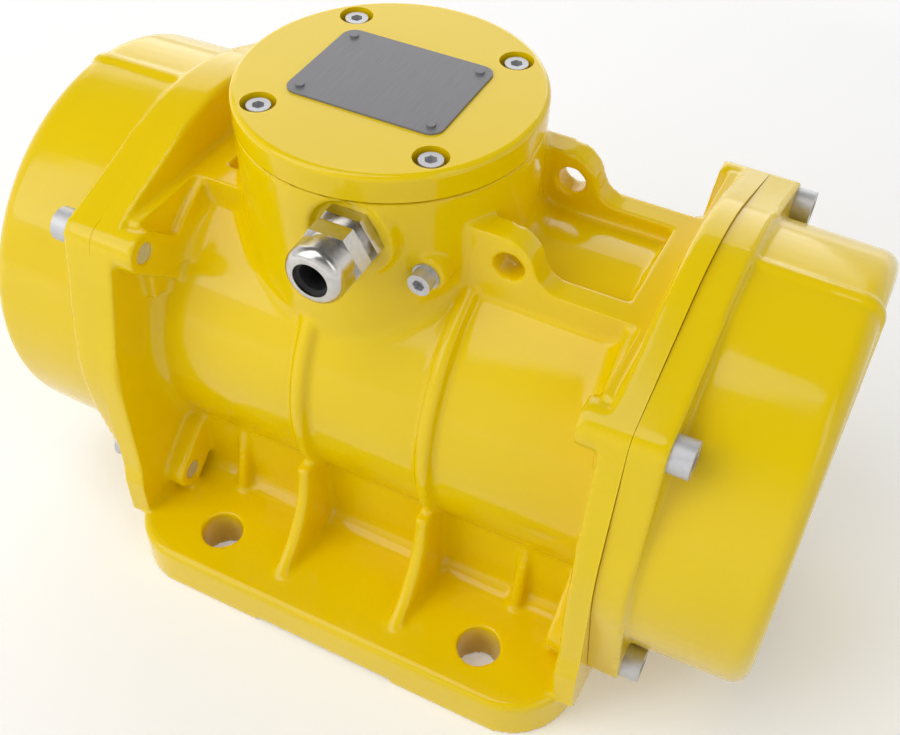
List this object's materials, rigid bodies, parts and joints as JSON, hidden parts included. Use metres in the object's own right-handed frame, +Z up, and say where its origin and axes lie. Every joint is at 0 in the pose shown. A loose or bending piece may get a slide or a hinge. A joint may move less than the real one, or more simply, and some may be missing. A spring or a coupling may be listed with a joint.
{
  "type": "vibration motor",
  "caption": "Flanged electric vibration motor with a foot, round terminal box, cable gland, lifting plates and two end covers over adjustable eccentric weights.",
  "frame": {"origin": "centre of the four foot holes, on the plane that the foot stands on", "axes": "+X along the shaft towards the end with the lifting holes, +Y away from the cable gland, +Z up from the foot"},
  "size_m": [0.3184, 0.211, 0.2036],
  "materials": {
    "yellow_paint": "gloss enamel on cast aluminium",
    "plated_steel": "zinc plated",
    "stainless": "plain",
    "nickel_plate": "polished nickel plate",
    "black_rubber": "matte",
    "bare_plate": "grey satin",
    "moulding": "moulded",
    "terminal_brass": "plain",
    "core_steel": "stacked sheet",
    "winding_copper": "enamelled copper",
    "cast_aluminium": "as cast",
    "ground_steel": "ground",
    "bearing_steel": "ground",
    "cage_brass": "machined",
    "shield_iron": "machined cast aluminium",
    "weight_iron": "flame-cut steel plate",
    "spring_steel": "blued"
  },
  "bodies": {
    "frame": {"bearing_cap_left": "shield_iron", "bearing_cap_right": "shield_iron", "bearing_outer_ring_left": "bearing_steel", "bearing_outer_ring_right": "bearing_steel", "bearing_shield_left": "shield_iron", "bearing_shield_right": "shield_iron", "cap_screws_left": "plated_steel", "cap_screws_right": "plated_steel", "cover_bolts_left": "plated_steel", "cover_bolts_right": "plated_steel", "cover_left": "yellow_paint", "cover_right": "yellow_paint", "cover_seal_left": "black_rubber", "cover_seal_right": "black_rubber", "cover_washers_left": "plated_steel", "cover_washers_right": "plated_steel", "earth_screw": "stainless", "earth_washer": "stainless", "gland_body": "nickel_plate", "gland_nut": "nickel_plate", "gland_seal": "black_rubber", "lid_gasket": "black_rubber", "lid_screws": "stainless", "lid_washers": "stainless", "motor_housing": "yellow_paint", "nameplate": "bare_plate", "nameplate_rivets": "bare_plate", "shield_screws_left": "plated_steel", "shield_screws_right": "plated_steel", "stator_core": "core_steel", "stator_windings": "winding_copper", "terminal_block": "moulding", "terminal_lid": "yellow_paint", "terminal_nuts": "terminal_brass", "terminal_studs": "terminal_brass"},
    "rotor": {"rotor_shaft": "ground_steel", "rotor_core": "core_steel", "rotor_end_rings": "cast_aluminium", "bearing_inner_ring_left": "bearing_steel", "bearing_inner_ring_right": "bearing_steel", "weight_spacer_left": "ground_steel", "weight_spacer_right": "ground_steel", "fixed_weight_left": "weight_iron", "fixed_weight_right": "weight_iron", "weight_key_left": "ground_steel", "weight_key_right": "ground_steel", "scale_disc_left": "cast_aluminium", "scale_disc_right": "cast_aluminium", "shaft_clip_left": "spring_steel", "shaft_clip_right": "spring_steel"},
    "left_cage": {"bearing_cage_left": "cage_brass", "bearing_rollers_left": "bearing_steel"},
    "left_adjustable": {"adjustable_weight_left": "weight_iron", "clamp_screw_left": "plated_steel"},
    "right_cage": {"bearing_cage_right": "cage_brass", "bearing_rollers_right": "bearing_steel"},
    "right_adjustable": {"adjustable_weight_right": "weight_iron", "clamp_screw_right": "plated_steel"}
  },
  "joints": [
    {"name": "rotor_spin", "type": "hinge", "parent": "frame", "child": "rotor", "pos_m": [0, 0, 0.09], "axis": [1, 0, 0], "continuous": true},
    {"name": "left_cage_turn", "type": "hinge", "parent": "frame", "child": "left_cage", "pos_m": [-0.0875, 0, 0.09], "axis": [1, 0, 0], "continuous": true},
    {"name": "left_weight_setting", "type": "hinge", "parent": "rotor", "child": "left_adjustable", "pos_m": [-0.132, 0, 0.09], "axis": [1, 0, 0], "range_deg": [0, 180]},
    {"name": "right_cage_turn", "type": "hinge", "parent": "frame", "child": "right_cage", "pos_m": [0.0875, 0, 0.09], "axis": [1, 0, 0], "continuous": true},
    {"name": "right_weight_setting", "type": "hinge", "parent": "rotor", "child": "right_adjustable", "pos_m": [0.132, 0, 0.09], "axis": [1, 0, 0], "range_deg": [0, 180]}
  ],
  "couplings": [
    {"joint": "left_cage_turn", "follows": "rotor_spin", "ratio": 0.3932},
    {"joint": "right_cage_turn", "follows": "rotor_spin", "ratio": 0.3932}
  ]
}
